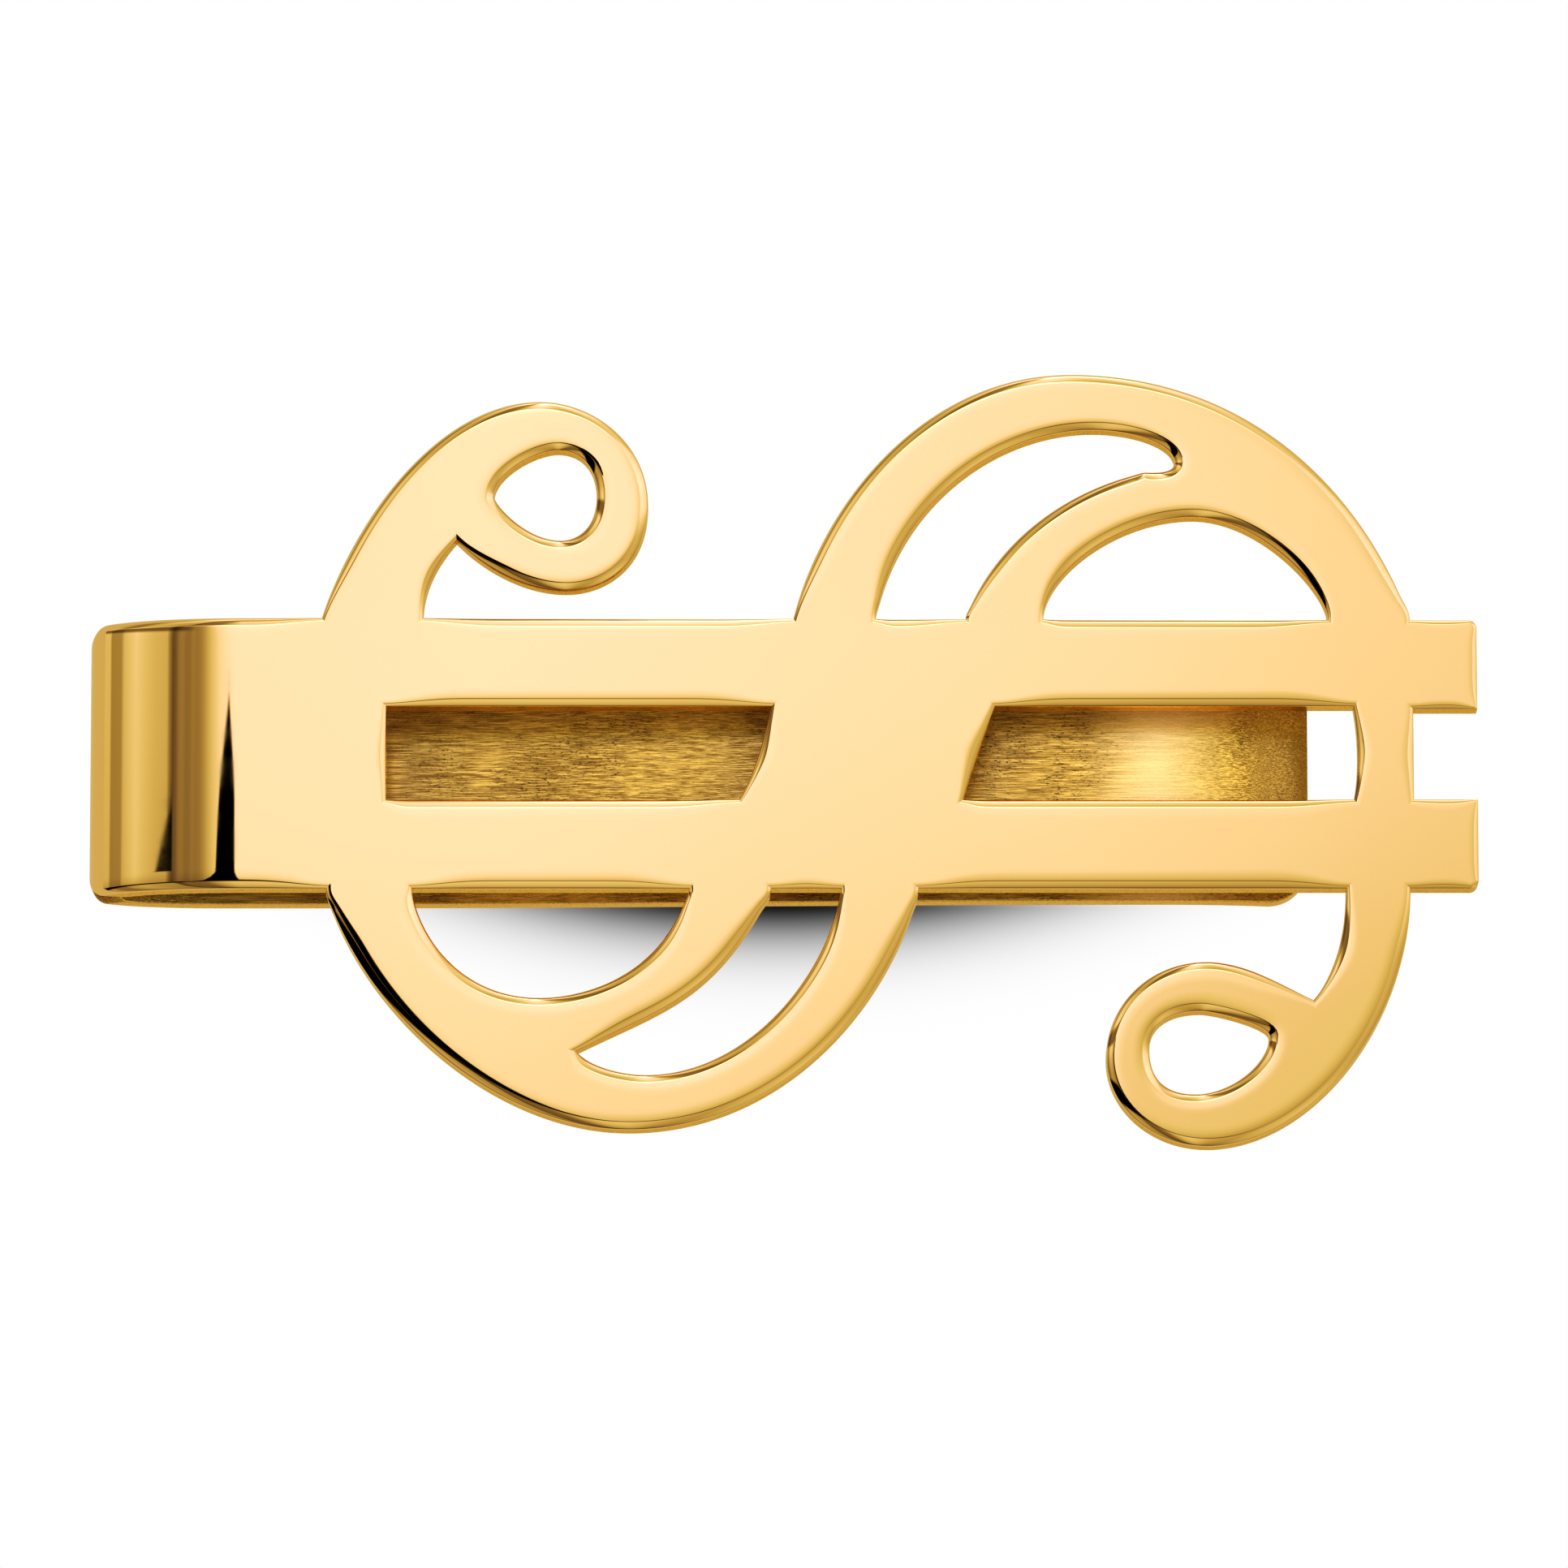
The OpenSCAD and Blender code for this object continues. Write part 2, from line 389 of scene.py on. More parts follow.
def evened(values, closed, passes):
    """The values with their jumps smoothed out along an outline, and none made larger."""
    n = len(values)
    out = list(values)
    for _ in range(passes):
        last = list(out)
        for i in range(n):
            before = last[i - 1] if closed or i else last[i]
            after = last[(i + 1) % n] if closed or i < n - 1 else last[i]
            out[i] = min(values[i], (before + 2 * last[i] + after) / 4)
    return out


def roll_widths(line, radii):
    """How wide the buffed edge is at each fine point of an outline of the front plate."""
    widths = []
    bar_end = front_hi.x - BAR_END_LEN
    for p, way, radius in zip(line.at, line.distances(), radii):
        width = ROLL_MIN_W + (ROLL_W - ROLL_MIN_W) * smooth(ROLL_START + way / ROLL_CLEAR)
        if width > BAR_END_W:
            width += (BAR_END_W - width) * smooth((p.x - bar_end) / BAR_END_EASE)
        if line.closed or abs(p.x - front_seam_x) > SEAM_CLEAR:
            width = min(width, ROLL_SHARE * radius)
        widths.append(width if way > 0 else ROLL_MIN_W)
    return evened(widths, line.closed, ROLL_PASSES)


def front_lines():
    """Outlines of the front plate. The outer one is open at the seam with the bend."""
    lines = []
    for loop in face_loops(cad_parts["dollar_front"], face_z):
        on_seam = [i for i, p in enumerate(loop) if abs(p.x - front_seam_x) < TOUCHING]
        if on_seam:
            first = next(i for i in on_seam if (i + 1) % len(loop) not in on_seam)
            loop = loop[first:] + loop[:first]
        lines.append(Outline(loop, not on_seam))
    return lines


def edge_columns(b, line, widths):
    """At each fine point of an outline, the vertices from the face down to the inner face."""
    columns = []
    for i, at in enumerate(line.at):
        step = mitre(line.before[i], line.after[i])
        if not line.closed and i in (0, len(line.at) - 1):
            step = Vector((0, 1 if at.y < 0 else -1))
        column = []
        for inset, fall, side, _ in ROWS:
            if side == "top":
                place = at + step * (inset * widths[i])
                z = face_z - fall * ROLL_DROP * widths[i]
            else:
                place = at + step * (inset * BREAK_W)
                z = front_lo.z + fall * BREAK_W
            column.append(b.vert(place.x, place.y, z))
        columns.append(column)
    return columns


def edge_faces(b, line, columns):
    """The buffed edge, the wall and the broken edge along an outline."""
    n = len(columns)
    for i in range(n if line.closed else n - 1):
        j = (i + 1) % n
        out_i, out_j = -inward(line.after[i]), -inward(line.before[j])
        for k in range(len(ROWS) - 1):
            above, below = ROWS[k][3], ROWS[k + 1][3]
            b.face(
                [columns[i][k], columns[i][k + 1], columns[j][k + 1], columns[j][k]],
                [
                    tilted(out_i, above), tilted(out_i, below),
                    tilted(out_j, below), tilted(out_j, above),
                ],
                WALL if k >= WALL_ROW else POLISHED,
            )


def flat_side(b, rings, normal):
    """Triangles that fill the metal between rings of vertices and face along the normal."""
    flat = [v for ring in rings for v in ring]
    polygons = [[Vector(b.co[v]) for v in ring] for ring in rings]
    triangles = [[flat[i] for i in corners] for corners in tessellate_polygon(polygons)]
    winding = 0.0
    for corners in triangles:
        first, second, third = (Vector(b.co[v]) for v in corners)
        winding += (second - first).cross(third - first).z
    for corners in triangles:
        b.face(corners if winding * normal[2] > 0 else corners[::-1], [normal] * 3, POLISHED)


def front_plate(materials):
    """The pierced front plate, closed with a cap at the seam where the bend takes over."""
    b = Builder()
    top_rings, bottom_rings = [], []
    lines = front_lines()
    for line, radii in zip(lines, metal_radii(lines)):
        columns = edge_columns(b, line, roll_widths(line, radii))
        edge_faces(b, line, columns)
        top_rings.append([column[0] for column in columns])
        bottom_rings.append([column[-1] for column in columns])
        if not line.closed:
            cap = columns[-1] + columns[0][::-1]
            b.face(cap, [LEFT] * len(cap), WALL)
    flat_side(b, top_rings, UP)
    flat_side(b, bottom_rings, DOWN)
    return b.make("dollar_front_plate", materials)


# ---------------------------------------------------------------- bend and arm
def section_column(b, station):
    """Vertices and normals round the strip's whole section at a station."""
    mid = (strip_low + strip_high) / 2
    thick = (station["inner"] - station["outer"]).length
    column, normals = [], []
    for (inset, fall, side, angle), hand in SECTION:
        if side == "top":
            edge, depth = inset * station["roll"], fall * ROLL_DROP * station["roll"]
            flat = station["normal"]
        else:
            edge, depth = inset * BREAK_W, thick - fall * BREAK_W
            flat = station["inner_normal"]
        place = station["outer"].lerp(station["inner"], depth / thick)
        column.append(b.vert(place.x, mid + hand * (station["half"] - edge), place.y))
        sideways = Vector((station["lean"], hand, 0.0)).normalized()
        normal = sideways * math.sin(angle) + Vector((flat.x, 0.0, flat.y)) * math.cos(angle)
        normals.append(tuple(normal.normalized()))
    return column, normals


def section_material(k):
    """The material between row k of the section and the next row."""
    if k == len(ROWS) - 1:
        return SATIN
    if k == len(SECTION) - 1:
        return POLISHED
    row = k if k < len(ROWS) else len(SECTION) - 2 - k
    return WALL if row >= WALL_ROW else POLISHED


def sweep(name, stations, materials, caps):
    """A strip swept along stations. Each station gives its outer and inner points and normals in
    the X-Z plane, its half width, the buffed edge's width, and how the plan narrows there."""
    b = Builder()
    columns = [section_column(b, station) for station in stations]
    count = len(SECTION)
    for (here, here_n), (there, there_n) in zip(columns, columns[1:]):
        for k in range(count):
            m = (k + 1) % count
            b.face(
                [here[k], here[m], there[m], there[k]],
                [here_n[k], here_n[m], there_n[m], there_n[k]],
                section_material(k),
            )
    for end, direction in caps:
        ring = columns[end][0]
        b.face(ring[::-1] if end == 0 else ring, [direction] * count, WALL)
    return b.make(name, materials)


def corner_cut(into, radius):
    """How much a rounded corner of the plan takes off the strip's half width."""
    return radius - math.sqrt(max(0.0, radius**2 - into**2))


def bend_stations():
    """Round the U of the bend, from the front plate to the back arm."""
    quarters = (
        (front_seam_x, face_z - nose_z, 90, 180),
        (arm_seam_x, nose_z, 180, 270),
    )
    out = []
    for centre_x, rise, start, stop in quarters:
        reach = centre_x - nose_x
        for i in range(1 if out else 0, BEND_STEPS + 1):
            angle = math.radians(start + (stop - start) * i / BEND_STEPS)
            c, s = math.cos(angle), math.sin(angle)
            outer = Vector((centre_x + reach * c, nose_z + rise * s))
            inner = Vector((centre_x + (reach - sheet_t) * c, nose_z + (rise - sheet_t) * s))
            into = max(0.0, nose_x + bend_corner_r - outer.x)
            share = smooth((angle - math.pi / 2) / math.pi)
            out.append({
                "outer": outer,
                "inner": inner,
                "normal": Vector((c / reach, s / rise)).normalized(),
                "inner_normal": Vector((c / (reach - sheet_t), s / (rise - sheet_t))).normalized(),
                "half": (strip_high - strip_low) / 2 - corner_cut(into, bend_corner_r),
                "roll": ROLL_W + (BACK_W - ROLL_W) * share,
                "lean": 0.0,
            })
    return out


def cubic(a, b, c, d, t):
    """The point at share t of the cubic curve that a, b, c and d control."""
    s = 1 - t
    return s**3 * a + 3 * s * s * t * b + 3 * s * t * t * c + t**3 * d


def arm_underside():
    """Points along the underside of the arm: flat, bowed up to the crest, then down to the tip."""
    flat_end = arm_seam_x + arm_flat_len
    bow = (crest_x - flat_end) / 3
    lip = (arm_tip_x - crest_x) / 2
    up = (
        Vector((flat_end, 0.0)), Vector((flat_end + bow, 0.0)),
        Vector((crest_x - bow, crest_rise)), Vector((crest_x, crest_rise)),
    )
    down = (
        Vector((crest_x, crest_rise)), Vector((crest_x + lip, crest_rise)),
        Vector((arm_tip_x - lip / 2, crest_rise / 2)), Vector((arm_tip_x, 0.0)),
    )
    points = [Vector((arm_seam_x + arm_flat_len * i / FLAT_STEPS, 0.0)) for i in range(FLAT_STEPS)]
    points += [cubic(*up, i / CURVE_STEPS) for i in range(CURVE_STEPS)]
    points += [cubic(*down, i / CURVE_STEPS) for i in range(CURVE_STEPS + 1)]
    return points


def arm_stations():
    """Along the back arm, from the bend to the rounded tip. Its outer side is its underside."""
    points = arm_underside()
    out = []
    for i, p in enumerate(points):
        ahead, behind = points[min(i + 1, len(points) - 1)], points[max(i - 1, 0)]
        along = (ahead - behind).normalized()
        into = max(0.0, p.x - (arm_tip_x - arm_corner_r))
        lean = into / math.sqrt(max(1e-12, arm_corner_r**2 - into**2))
        out.append({
            "outer": p,
            "inner": p + Vector((0.0, sheet_t)),
            "normal": Vector((along.y, -along.x)),
            "inner_normal": Vector((along.y, -along.x)),
            "half": (strip_high - strip_low) / 2 - corner_cut(into, arm_corner_r),
            "roll": BACK_W,
            "lean": min(lean, LEAN_LIMIT),
        })
    return out


# ---------------------------------------------------------------- materials
class Nodes:
    """Short ways to build a node tree."""

    def __init__(self, tree):
        self.tree = tree

    def new(self, kind, **settings):
        """A node of a kind, with its settings."""
        node = self.tree.nodes.new(kind)
        for key, value in settings.items():
            setattr(node, key, value)
        return node

    def feed(self, socket, value):
        """Links another node's output to the socket, or sets the socket's own value."""
        if isinstance(value, bpy.types.NodeSocket):
            self.tree.links.new(value, socket)
        elif value is not None:
            socket.default_value = value

    def math(self, operation, a, b=None, clamp=False):
        """The result of a math operation on one or two values."""
        node = self.new("ShaderNodeMath", operation=operation, use_clamp=clamp)
        self.feed(node.inputs[0], a)
        self.feed(node.inputs[1], b)
        return node.outputs[0]

    def place(self, scale=(1, 1, 1)):
        """Object coordinates in metres, stretched by three scales."""
        coords = self.new("ShaderNodeTexCoord").outputs["Object"]
        stretch = self.new("ShaderNodeMapping")
        self.feed(stretch.inputs["Vector"], coords)
        stretch.inputs["Scale"].default_value = scale
        return stretch.outputs["Vector"]

    def split(self, vector):
        """The X, Y and Z outputs of a vector."""
        node = self.new("ShaderNodeSeparateXYZ")
        self.feed(node.inputs[0], vector)
        return node.outputs

    def noise(self, scale, detail=2.0, roughness=0.5):
        """Noise from 0 to 1, with so many waves to the metre along X, Y and Z."""
        node = self.new("ShaderNodeTexNoise")
        self.feed(node.inputs["Vector"], self.place(scale))
        node.inputs["Scale"].default_value = 1.0
        node.inputs["Detail"].default_value = detail
        node.inputs["Roughness"].default_value = roughness
        return node.outputs["Fac"]

    def remap(self, value, low, high, to_low, to_high):
        """Runs softly from to_low to to_high while the value runs from low to high."""
        node = self.new("ShaderNodeMapRange", interpolation_type="SMOOTHSTEP")
        for socket, v in zip(node.inputs, (value, low, high, to_low, to_high)):
            self.feed(socket, v)
        return node.outputs["Result"]

    def mix(self, factor, a, b):
        """Colour a at factor 0 and colour b at factor 1."""
        node = self.new("ShaderNodeMix", data_type="RGBA")
        self.feed(node.inputs[0], factor)
        self.feed(node.inputs[6], a)
        self.feed(node.inputs[7], b)
        return node.outputs[2]

    def scale(self, value, stops):
        """The number that a table of (place, number) gives for the value, straight between places."""
        low, high = stops[0][0], stops[-1][0]
        top = max(number for _, number in stops)
        node = self.new("ShaderNodeFloatCurve")
        curve = node.mapping.curves[0]
        node.mapping.use_clip = False
        while len(curve.points) < len(stops):
            curve.points.new(1.0, 1.0)
        for point, (place, number) in zip(curve.points, stops):
            point.location = ((place - low) / (high - low), number / top)
            point.handle_type = "VECTOR"
        node.mapping.update()
        inside = self.math("DIVIDE", self.math("SUBTRACT", value, low), high - low, clamp=True)
        self.feed(node.inputs["Value"], inside)
        return self.math("MULTIPLY", node.outputs["Value"], top)

    def combine(self, channels):
        """A colour from its red, green and blue."""
        node = self.new("ShaderNodeCombineColor")
        for socket, v in zip(node.inputs, channels):
            self.feed(socket, v)
        return node.outputs[0]

    def bump(self, height, distance, strength=1.0, normal=None):
        """The normal of a surface raised by height times a distance in metres."""
        node = self.new("ShaderNodeBump")
        node.inputs["Strength"].default_value = strength
        node.inputs["Distance"].default_value = distance
        self.feed(node.inputs["Height"], height)
        self.feed(node.inputs["Normal"], normal)
        return node.outputs["Normal"]

    def surface(self, kind, colour):
        """Ends the tree in one shader of a kind that needs only a colour."""
        shader = self.new(kind)
        self.feed(shader.inputs["Color"], colour)
        self.feed(self.new("ShaderNodeOutputMaterial").inputs["Surface"], shader.outputs[0])


# Colours are linear.
GOLD = (1.0, 0.73, 0.38, 1.0)
DEEP_GOLD = (0.96, 0.66, 0.30, 1.0)
CUT_GOLD = (0.94, 0.65, 0.26, 1.0)
CUT_TINT = (1.0, 0.84, 0.5, 1.0)  # colour that the cut edge mirrors at a grazing angle
SATIN_GOLD = (1.0, 0.72, 0.27, 1.0)
# lighter gold of the painted highlight at the arm's crest
CREST_HIGHLIGHT_GOLD = (1.0, 0.77, 0.56, 1.0)
PATINA = (0.46, 0.27, 0.08, 1.0)
SPECK = (0.12, 0.07, 0.03, 1.0)
CREST_HIGHLIGHT_LEN = 3.6 * MM  # how far the painted highlight reaches each side of the arm's crest
TIP_SHADE_AND_WEAR_FROM = 2.4 * MM  # how far past the crest the tip starts to darken: painted shade of the bent-down lip, with its wear pits
TIP_SHADE_AND_WEAR_TO = 4.0 * MM  # how far past the crest that painted shade and wear is full


def metal(name):
    """A metal material, the helper for its node tree, and its shader."""
    mat = bpy.data.materials.new(name)
    mat.use_nodes = True
    shader = mat.node_tree.nodes["Principled BSDF"]
    shader.inputs["Metallic"].default_value = 1.0
    return mat, Nodes(mat.node_tree), shader


def polished_gold():
    """Mirror polish: a faint haze, a slow change of tone, and hairline polishing marks."""
    mat, n, shader = metal("polished_gold")
    tone = n.noise((60, 60, 60), detail=1.0)
    haze = n.noise((900, 900, 900), detail=3.0)
    lines = n.noise((9000, 500, 9000), detail=3.0)
    wave = n.noise((130, 130, 130), detail=1.0)
    n.feed(shader.inputs["Base Color"], n.mix(n.remap(tone, 0.35, 0.65, 0.0, 0.12), GOLD, DEEP_GOLD))
    n.feed(shader.inputs["Roughness"], n.remap(haze, 0.3, 0.8, 0.02, 0.045))
    waved = n.bump(wave, distance=2e-6)
    n.feed(shader.inputs["Normal"], n.bump(lines, distance=5e-8, normal=waved))
    return mat


def wall_gold():
    """The cut edge of the sheet: drawn along with fine file marks, a little duller and deeper."""
    mat, n, shader = metal("filed_gold_edge")
    streak = n.noise((1500, 1500, 26000), detail=3.0)
    pits = n.noise((14000, 14000, 14000), detail=2.0)
    n.feed(shader.inputs["Base Color"], n.mix(n.remap(pits, 0.45, 0.75, 0.0, 0.7), CUT_GOLD, PATINA))
    shader.inputs["Specular Tint"].default_value = CUT_TINT
    n.feed(shader.inputs["Roughness"], n.remap(streak, 0.3, 0.7, 0.1, 0.2))
    n.feed(shader.inputs["Normal"], n.bump(streak, distance=4e-7, strength=0.6))
    return mat


def satin_gold():
    """The inner face: brushed lengthwise, browned, with dark specks in the brush marks. A painted
    highlight lightens it at the crest of the arm, where it faces the light; towards the tip it is
    browner."""
    mat, n, shader = metal("satin_gold")
    shader.inputs["Metallic"].default_value = 0.55
    shader.inputs["Specular IOR Level"].default_value = 0.2
    x = n.split(n.place())["X"]
    fine = n.noise((520, 42000, 42000), detail=3.0, roughness=0.65)
    broad = n.noise((110, 6000, 6000), detail=3.0, roughness=0.65)
    blotch = n.noise((300, 420, 420), detail=2.0)
    specks = n.noise((6000, 20000, 20000), detail=3.0, roughness=0.75)

    from_crest = n.math("ABSOLUTE", n.math("SUBTRACT", x, crest_x))
    # painted highlight: lighter towards the arm's crest, where it faces the light
    crest_highlight = n.remap(from_crest, 0.0, CREST_HIGHLIGHT_LEN, 0.8, 0.0)
    outside_highlight = n.math("SUBTRACT", 1.0, crest_highlight)
    # browner towards the tip: painted shade where the lip bends down, together with the wear pits
    # there
    tip = n.remap(x, crest_x + TIP_SHADE_AND_WEAR_FROM, crest_x + TIP_SHADE_AND_WEAR_TO, 0.0, 0.5)

    brown = n.remap(fine, 0.43, 0.57, -0.05, 1.0)
    brown = n.math("ADD", brown, n.remap(broad, 0.3, 0.7, -0.2, 0.2))
    brown = n.math("ADD", brown, n.remap(blotch, 0.3, 0.7, -0.15, 0.25), clamp=True)
    brown = n.math("ADD", n.math("MULTIPLY", brown, outside_highlight), tip, clamp=True)
    dark = n.remap(specks, 0.55, 0.64, 0.0, 1.0)
    dark = n.math("MULTIPLY", dark, n.remap(blotch, 0.45, 0.6, 0.1, 0.9))
    dark = n.math("MULTIPLY", dark, outside_highlight)
    colour = n.mix(brown, n.mix(crest_highlight, SATIN_GOLD, CREST_HIGHLIGHT_GOLD), PATINA)
    n.feed(shader.inputs["Base Color"], n.mix(dark, colour, SPECK))
    n.feed(shader.inputs["Roughness"], n.remap(fine, 0.3, 0.7, 0.17, 0.3))
    n.feed(shader.inputs["Normal"], n.bump(fine, distance=1.5e-6, strength=0.7))
    return mat


def bare_material(name):
    """A material without nodes, and the helper for its node tree."""
    mat = bpy.data.materials.new(name)
    mat.use_nodes = True
    mat.node_tree.nodes.clear()
    return mat, Nodes(mat.node_tree)


# ---------------------------------------------------------------- floor
TENT_R = 0.4
FLOOR_R = TENT_R * 0.98
FLOOR_Z = -0.00002  # just under the clip, so that the two don't touch
MIRRORED_FLOOR_Z = -0.00004
MIRRORED_FLOOR = (0.78, 0.77, 0.55, 1.0)
WHITE = (1.0, 1.0, 1.0, 1.0)
BLACK = (0.0, 0.0, 0.0, 1.0)
# The strip's shadow, painted into the floor film rather than cast by a lamp:
SHADOW_X = -0.0003  # middle of the strip's shadow on the floor
SHADOW_LEN = 0.0116  # how far the shadow reaches from there along the strip
SHADOW_REACH = 0.0018  # how far it reaches in front of the strip
SHADOW_BACK = 0.6 * MM  # how far it reaches behind the strip
SHADOW_DEPTH = 0.86
SHADOW_FAINTEST = 0.03  # tone below this is left out


def disc(name, radius, z):
    """A flat, round sheet at height z."""
    sides = 96
    angles = [2 * math.pi * i / sides for i in range(sides)]
    mesh = bpy.data.meshes.new(name)
    ring = [(radius * math.cos(angle), radius * math.sin(angle), z) for angle in angles]
    mesh.from_pydata(ring, [], [list(range(sides))])
    obj = bpy.data.objects.new(name, mesh)
    bpy.context.scene.collection.objects.link(obj)
    return obj


def floor_film():
    """Clear, with a painted shadow: toned in a bell along the strip that fades in front of it and ends
    behind it.
    """
    mat, n = bare_material("floor_painted_shadow")
    place = n.split(n.place())
    along = n.math("DIVIDE", n.math("SUBTRACT", place["X"], SHADOW_X), SHADOW_LEN)
    bell = n.math("EXPONENT", n.math("MULTIPLY", n.math("MULTIPLY", along, along), -1.0))
    in_front = n.math("MAXIMUM", n.math("SUBTRACT", strip_low, place["Y"]), 0.0)
    fade = n.math("EXPONENT", n.math("DIVIDE", in_front, -SHADOW_REACH))
    depth = n.remap(place["Y"], strip_high, strip_high + SHADOW_BACK, SHADOW_DEPTH, 0.0)
    tone = n.math("MULTIPLY", n.math("MULTIPLY", bell, fade), depth)
    # the painted shadow darkens the clear film
    dark = n.remap(tone, SHADOW_FAINTEST, 1.0, 0.0, 1.0)
    n.surface("ShaderNodeBsdfTransparent", n.mix(dark, WHITE, BLACK))
    return mat


def floor_glow():
    """What the gold mirrors of the floor."""
    mat, n = bare_material("floor_mirrored")
    n.surface("ShaderNodeEmission", MIRRORED_FLOOR)
    return mat


def make_floor():
    """The white floor with a painted soft shadow, and the dimmer, warmer one that the gold mirrors.

    The floor is a clear film on an even white ground, with the strip's shadow painted into it, so
    that the arm stays in sight when it is bent down past the level that the clip lies on."""
    floor = disc("floor", FLOOR_R, FLOOR_Z)
    floor.data.materials.append(floor_film())
    floor.visible_glossy = False
    floor.visible_diffuse = False
    floor.visible_shadow = False
    mirrored = disc("mirrored_floor", FLOOR_R, MIRRORED_FLOOR_Z)
    mirrored.data.materials.append(floor_glow())
    mirrored.visible_camera = False
    mirrored.visible_diffuse = False
    mirrored.visible_shadow = False


# ---------------------------------------------------------------- light
# The lamps light the gap between the plates, which the tent doesn't.
GAP_LIGHT = 1.0  # brightness that a lamp of share 1 gives a level, white, matt surface
GAP_COLOUR = (0.85, 0.95, 0.6)
GAP_LAMPS = [  # azimuth, elevation, share of the brightness
    (-90, 30, 0.14),
    (90, 30, 0.25),
    (0, 50, 0.65),
    (180, 50, 0.6),
]
LAMP_SPREAD = 60  # degrees across a lamp
SPREAD_LOSS = 0.93  # light of a lamp that wide on a facing surface, over that of a narrow one


def clip_group(name, clip):
    """A collection that holds the clip alone."""
    group = bpy.data.collections.new(name)
    for obj in clip:
        group.objects.link(obj)
    return group


def soft_lamp(azimuth, elevation, brightness, clip):
    """A soft, distant lamp that lights only the clip, is shaded only by it, and isn't mirrored."""
    name = "gap_light_%d" % azimuth
    data = bpy.data.lights.new(name, "SUN")
    data.angle = math.radians(LAMP_SPREAD)
    data.color = GAP_COLOUR
    lamp = bpy.data.objects.new(name, data)
    bpy.context.scene.collection.objects.link(lamp)
    e, a = math.radians(elevation), math.radians(azimuth)
    toward = Vector((math.cos(e) * math.cos(a), math.cos(e) * math.sin(a), math.sin(e)))
    lamp.rotation_mode = "QUATERNION"
    lamp.rotation_quaternion = toward.to_track_quat("Z", "Y")
    data.energy = brightness * math.pi / (SPREAD_LOSS * math.sin(e))
    lamp.visible_glossy = False
    lamp.light_linking.receiver_collection = clip_group(name + "_lit", clip)
    lamp.light_linking.blocker_collection = clip_group(name + "_shade", clip)


# Brightness of the tent by direction, in degrees from straight up. The first table runs from the
# left (the bend's side) to the right, the second from the camera's side to the back. The two are
# multiplied with PEAK, and both are about 1 for the panel that the flat face mirrors.
ACROSS = [
    (-180, 0.69), (-80, 0.70), (-77.5, 0.47), (-65, 0.49), (-63, 0.68), (-57.5, 0.74), (-52, 0.80),
    (-46.5, 0.74), (-40, 0.68), (-33, 0.65), (-31.8, 0.22), (-30, 0.24), (-28.6, 0.41),
    (-26.8, 0.44), (-24.6, 0.36), (-22.4, 0.45), (-20.6, 0.41), (-18.8, 0.48), (-17, 0.62),
    (-15, 0.74), (-12.5, 0.84), (-9, 0.95), (-3, 1.0), (3.3, 0.9), (5, 0.85), (7, 0.82),
    (12, 0.77), (20, 0.76), (30, 0.88), (50, 0.96), (75, 0.82), (180, 0.8),
]
LIFT = [
    (-90, 0.12), (-77, 0.14), (-72, 0.5), (-55, 0.68), (-38, 0.76), (-32, 0.74), (-20, 0.66),
    (-3, 0.70), (3, 0.80), (7, 0.88), (9.5, 0.97), (11, 1.0), (17, 1.04), (22, 1.1),
    (25, 1.1), (42, 0.95), (47, 0.8), (60, 0.85), (66, 1.0), (75, 1.1), (80, 1.6), (90, 2.0),
]
PEAK = 1.2
# Colour of the light by its brightness: dim parts of the tent are warm, bright ones cool.
TINT = [
    (0.0, (0.0, 0.0, 0.0)), (0.2, (0.2, 0.17, 0.11)), (0.32, (0.32, 0.27, 0.17)),
    (0.5, (0.5, 0.44, 0.26)), (0.6, (0.6, 0.56, 0.31)), (0.7, (0.7, 0.68, 0.42)),
    (0.8, (0.8, 0.815, 0.56)), (0.85, (0.85, 0.885, 0.67)), (0.9, (0.9, 0.95, 0.81)),
    (0.95, (0.95, 0.99, 0.96)), (0.98, (0.98, 1.05, 1.15)), (1.05, (1.05, 1.12, 1.34)),
    (1.12, (1.12, 1.17, 1.52)), (1.2, (1.2, 1.21, 1.68)), (2.0, (2.0, 2.2, 2.9)),
    (10.0, (10.0, 11.0, 14.5)),
]
# Cards: how dark each is (a light one is below 0), and the half planes that meet in it, each as
# (across factor, lift factor, limit, softness).
CARDS = [
    (1.0, [(1.0, -1.4, -25.8, 0.3), (1.0, -3.55, -46.4, 0.5), (-1.0, 0.0, 6.95, 0.3),
           (-1.0, -2.52, -17.4, 0.35), (0.0, 1.0, 8.6, 0.15)]),
    (1.0, [(1.0, -0.5, -17.6, 0.4), (-1.0, -0.2, 5.1, 0.4), (0.0, -1.0, -9.2, 0.3),
           (0.0, 1.0, -14.0, 3.0)]),
    (1.0, [(-1.0, 0.0, 26.0, 1.5), (0.0, -1.0, 9.0, 2.0), (0.0, 1.0, -29.0, 2.5)]),
    (0.95, [(1.0, -11.3, -136.4, 0.9), (-1.0, 0.0, 31.0, 0.4), (0.0, 1.0, 8.5, 0.1)]),
    (0.6, [(-1.0, 0.0, 24.0, 5.0), (0.0, 1.0, 14.5, 1.5), (0.0, -1.0, -24.0, 3.0)]),
    (0.55, [(-1.0, 0.0, -12.0, 4.0), (0.0, -1.0, 11.0, 1.5), (0.0, 1.0, -27.0, 1.5)]),
    (-0.5, [(1.0, 0.0, -32.0, 5.0), (-1.0, 0.0, -16.0, 5.0), (0.0, 1.0, 23.5, 1.5),
            (0.0, -1.0, -44.0, 2.0)]),
]
DEGREES = 180 / math.pi
TENT_EDGE = math.radians(92)  # how far from straight up the dome reaches
TENT_RINGS = 24
TENT_SPOKES = 64


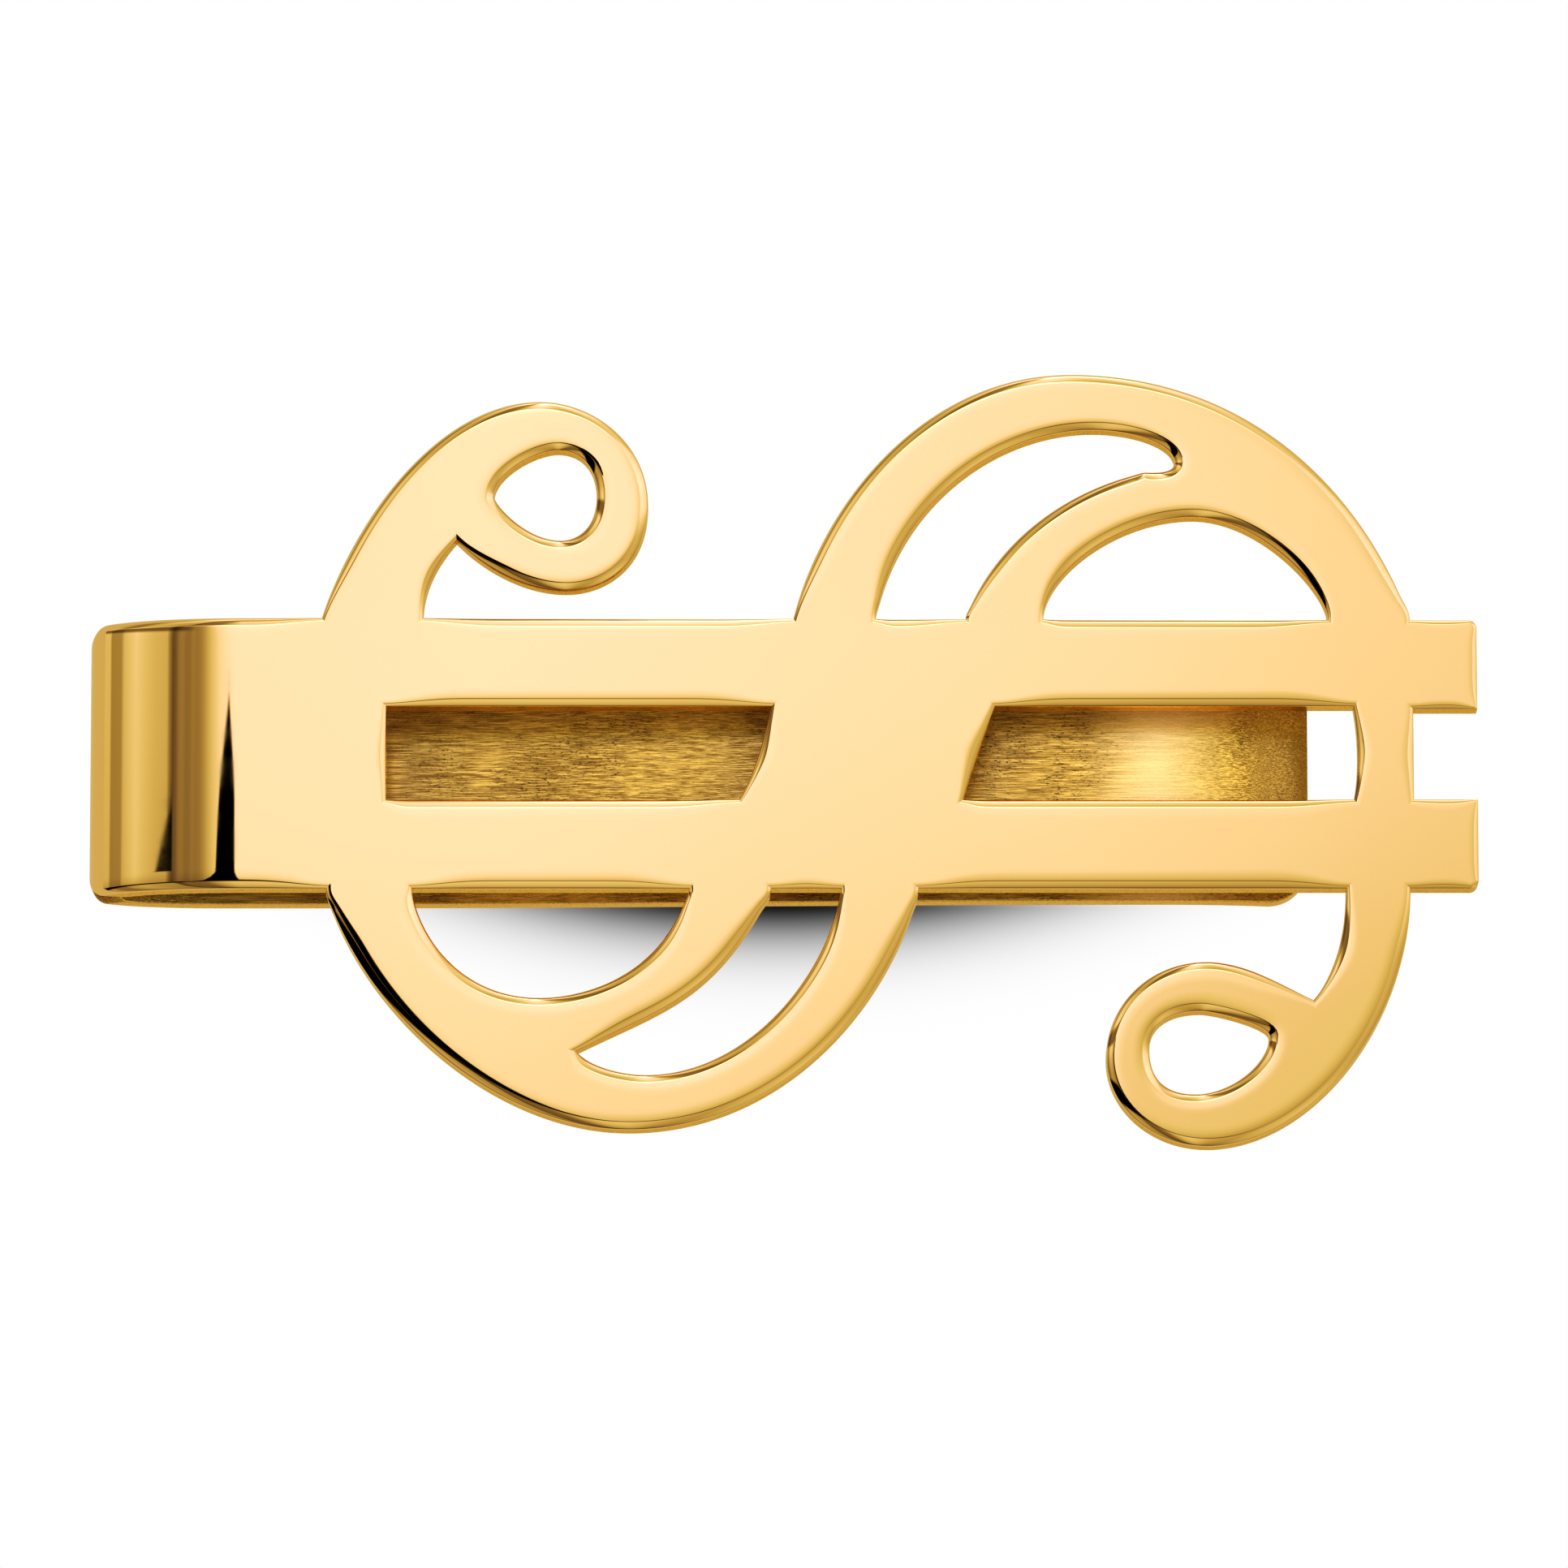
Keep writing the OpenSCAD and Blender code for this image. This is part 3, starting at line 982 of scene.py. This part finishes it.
def tent_dome():
    """The mesh of the dome."""
    verts, faces = [(0, 0, TENT_R)], []
    for r in range(1, TENT_RINGS + 1):
        down = TENT_EDGE * r / TENT_RINGS
        out = TENT_R * math.sin(down)
        for s in range(TENT_SPOKES):
            around = 2 * math.pi * s / TENT_SPOKES
            verts.append((out * math.cos(around), out * math.sin(around), TENT_R * math.cos(down)))
    for s in range(TENT_SPOKES):
        faces.append((0, 1 + (s + 1) % TENT_SPOKES, 1 + s))
    for r in range(TENT_RINGS - 1):
        for s in range(TENT_SPOKES):
            a = 1 + r * TENT_SPOKES + s
            b = 1 + r * TENT_SPOKES + (s + 1) % TENT_SPOKES
            faces.append((a, b, b + TENT_SPOKES, a + TENT_SPOKES))
    mesh = bpy.data.meshes.new("light_tent")
    mesh.from_pydata(verts, [], faces)
    return mesh


def tent_glow():
    """The tent's light: the two tables, less the cards, and tinted by its brightness."""
    mat, n = bare_material("light_tent")
    toward = n.new("ShaderNodeVectorMath", operation="NORMALIZE")
    n.feed(toward.inputs[0], n.new("ShaderNodeTexCoord").outputs["Object"])
    part = n.split(toward.outputs[0])
    across = n.math("MULTIPLY", n.math("ARCTAN2", part["X"], part["Z"]), DEGREES)
    lift = n.math("MULTIPLY", n.math("ARCSINE", part["Y"]), DEGREES)
    light = n.math("MULTIPLY", n.math("MULTIPLY", n.scale(across, ACROSS), n.scale(lift, LIFT)), PEAK)
    for dark, half_planes in CARDS:
        inside = dark
        for by_across, by_lift, limit, soft in half_planes:
            part_across = n.math("MULTIPLY", across, by_across)
            part_lift = n.math("MULTIPLY", lift, by_lift)
            reach = n.math("ADD", part_across, part_lift)
            over = n.remap(reach, limit - soft, limit + soft, 0.0, 1.0)
            inside = n.math("MULTIPLY", inside, over)
        light = n.math("MULTIPLY", light, n.math("SUBTRACT", 1.0, inside))
    channels = [n.scale(light, [(level, colour[i]) for level, colour in TINT]) for i in range(3)]
    n.surface("ShaderNodeEmission", n.combine(channels))
    return mat


def make_tent():
    """Dome of soft panels round the clip. The gold mirrors it. It lights no matt surface, and the
    camera doesn't see it."""
    tent = bpy.data.objects.new("light_tent", tent_dome())
    bpy.context.scene.collection.objects.link(tent)
    tent.data.materials.append(tent_glow())
    tent.visible_camera = False
    tent.visible_diffuse = False


# ---------------------------------------------------------------- camera and world
CAMERA_ELEVATION = math.radians(80)
CAMERA_DISTANCE = 0.5
FRAME_WIDTH = 0.05636  # width of what the camera sees at the front face
LOOK_AT = Vector((0.00006, -0.00094, face_z))  # middle of the picture, on the front face
CONTRAST_GAMMA = 0.6  # gives the contrast of the photo


def make_camera():
    """The photo's view: from in front, tilted by 10 degrees from straight above."""
    data = bpy.data.cameras.new("camera")
    data.sensor_width = 36.0
    data.lens = data.sensor_width * CAMERA_DISTANCE / FRAME_WIDTH
    data.clip_start, data.clip_end = 0.01, 10
    cam = bpy.data.objects.new("camera", data)
    bpy.context.scene.collection.objects.link(cam)
    back = Vector((0, -math.cos(CAMERA_ELEVATION), math.sin(CAMERA_ELEVATION)))
    cam.location = LOOK_AT + back * CAMERA_DISTANCE
    cam.rotation_mode = "QUATERNION"
    cam.rotation_quaternion = (-back).to_track_quat("-Z", "Y")
    bpy.context.scene.camera = cam


def make_world():
    """An even white ground that lights no matt surface, and the view's contrast."""
    world = bpy.data.worlds.new("world")
    bpy.context.scene.world = world
    world.use_nodes = True
    back = world.node_tree.nodes["Background"]
    back.inputs["Color"].default_value = WHITE
    back.inputs["Strength"].default_value = 1.0
    world.cycles_visibility.diffuse = False
    settings = bpy.context.scene.view_settings
    settings.view_transform = "Standard"
    settings.look = "None"
    settings.gamma = CONTRAST_GAMMA


# ---------------------------------------------------------------- the object
metals = [polished_gold(), wall_gold(), satin_gold()]

front = front_plate(metals)
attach(front, "front")
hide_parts("dollar_front")

bend = sweep("spring_bend_fold", bend_stations(), metals, ((0, RIGHT), (-1, RIGHT)))
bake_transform(bend)
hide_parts("spring_bend")

arm = sweep("back_arm_tongue", arm_stations(), metals, ((0, LEFT), (-1, RIGHT)))
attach(arm, "arm")
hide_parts("back_arm")

make_floor()
clip = [front, bend, arm]
for azimuth, elevation, share in GAP_LAMPS:
    soft_lamp(azimuth, elevation, GAP_LIGHT * share, clip)
make_tent()
make_camera()
make_world()
